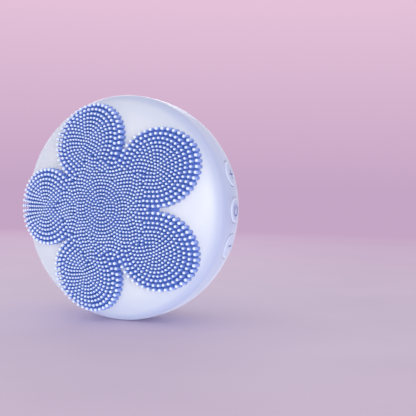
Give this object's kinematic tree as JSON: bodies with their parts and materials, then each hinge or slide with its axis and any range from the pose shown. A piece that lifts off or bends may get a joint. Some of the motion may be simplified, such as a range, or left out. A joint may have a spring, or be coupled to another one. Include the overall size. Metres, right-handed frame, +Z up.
{
  "type": "facial cleansing brush",
  "caption": "Round handheld facial cleansing brush: silicone skin with a flower of bristles in front, lit ring and metal massage plate behind, side keys.",
  "frame": {"origin": "under the middle of the brush's box, on the surface it stands on", "axes": "+Z up, with the brush standing on its rim; the bristles face -Y, the metal plate faces +Y and the keys face +X"},
  "size_m": [0.082, 0.0458, 0.0818],
  "materials": {
    "lavender_silicone": "satin lavender silicone",
    "bristle_silicone": "periwinkle blue silicone, paler at the tips",
    "gloss_white": "high gloss white",
    "shell_plastic": "moulded, fine texture",
    "chrome": "mirror chrome",
    "silver_trim": "satin silver",
    "pale_blue_diffuser": "translucent pale blue, lit from behind",
    "blue_light_guide": "saturated blue, glossy",
    "polished_plate": "polished stainless steel",
    "steel": "plain steel",
    "gold_contact": "gold plated",
    "dense_weight": "sintered",
    "copper_winding": "enamelled copper wire",
    "circuit_board": "green solder mask",
    "black_plastic": "matte black",
    "seal_rubber": "matte",
    "foam": "closed-cell foam",
    "battery_foil": "laminated foil",
    "heater_film": "amber polyimide",
    "led": "clear lens",
    "red_wire": "wire insulation"
  },
  "bodies": {
    "root": {"battery": "battery_foil", "battery_lead": "red_wire", "battery_pad": "foam", "boost_inductor": "black_plastic", "bristle_field": "bristle_silicone", "button_board": "circuit_board", "charge_contact_1": "gold_contact", "charge_contact_2": "gold_contact", "charger_chip": "black_plastic", "charger_magnet": "steel", "chassis": "shell_plastic", "chrome_ring": "chrome", "contact_block": "gloss_white", "controller_chip": "black_plastic", "cover_screw_1": "steel", "cover_screw_2": "steel", "cover_screw_3": "steel", "cover_screw_4": "steel", "diffuser_ring": "pale_blue_diffuser", "front_shell": "shell_plastic", "heater_film": "heater_film", "heater_lead": "red_wire", "heater_pad": "foam", "led_1": "led", "led_2": "led", "led_3": "led", "led_4": "led", "led_5": "led", "led_6": "led", "led_board": "circuit_board", "light_ring": "blue_light_guide", "main_board": "circuit_board", "massage_plate": "polished_plate", "minus_switch": "black_plastic", "motor_can": "steel", "motor_end_cap": "black_plastic", "motor_lead": "black_plastic", "motor_sleeve": "seal_rubber", "plate_carrier": "shell_plastic", "plus_switch": "black_plastic", "power_switch": "black_plastic", "rear_cover": "shell_plastic", "shell_seal": "seal_rubber", "silicone_skin": "lavender_silicone", "thermistor": "black_plastic", "trim_ring": "silver_trim", "white_bezel": "gloss_white"},
    "rotor": {"motor_shaft": "steel", "motor_armature": "copper_winding", "eccentric_weight": "dense_weight"},
    "plus_key": {"plus_button_cap": "lavender_silicone", "plus_plunger": "shell_plastic", "plus_switch_stem": "steel"},
    "power_key": {"power_button_cap": "lavender_silicone", "power_plunger": "shell_plastic", "power_switch_stem": "steel"},
    "minus_key": {"minus_button_cap": "lavender_silicone", "minus_plunger": "shell_plastic", "minus_switch_stem": "steel"}
  },
  "joints": [
    {"name": "plus_press", "type": "slide", "parent": "root", "child": "plus_key", "axis": [-1, 0, 0], "range_m": [0, 0.0006], "stiffness_N_per_m": 2500},
    {"name": "power_press", "type": "slide", "parent": "root", "child": "power_key", "axis": [-1, 0, 0], "range_m": [0, 0.0006], "stiffness_N_per_m": 2500},
    {"name": "minus_press", "type": "slide", "parent": "root", "child": "minus_key", "axis": [-1, 0, 0], "range_m": [0, 0.0006], "stiffness_N_per_m": 2500},
    {"name": "motor_spin", "type": "hinge", "parent": "root", "child": "rotor", "pos_m": [-0.0001, -0.007, 0.04091], "axis": [1, 0, 0], "continuous": true}
  ]
}
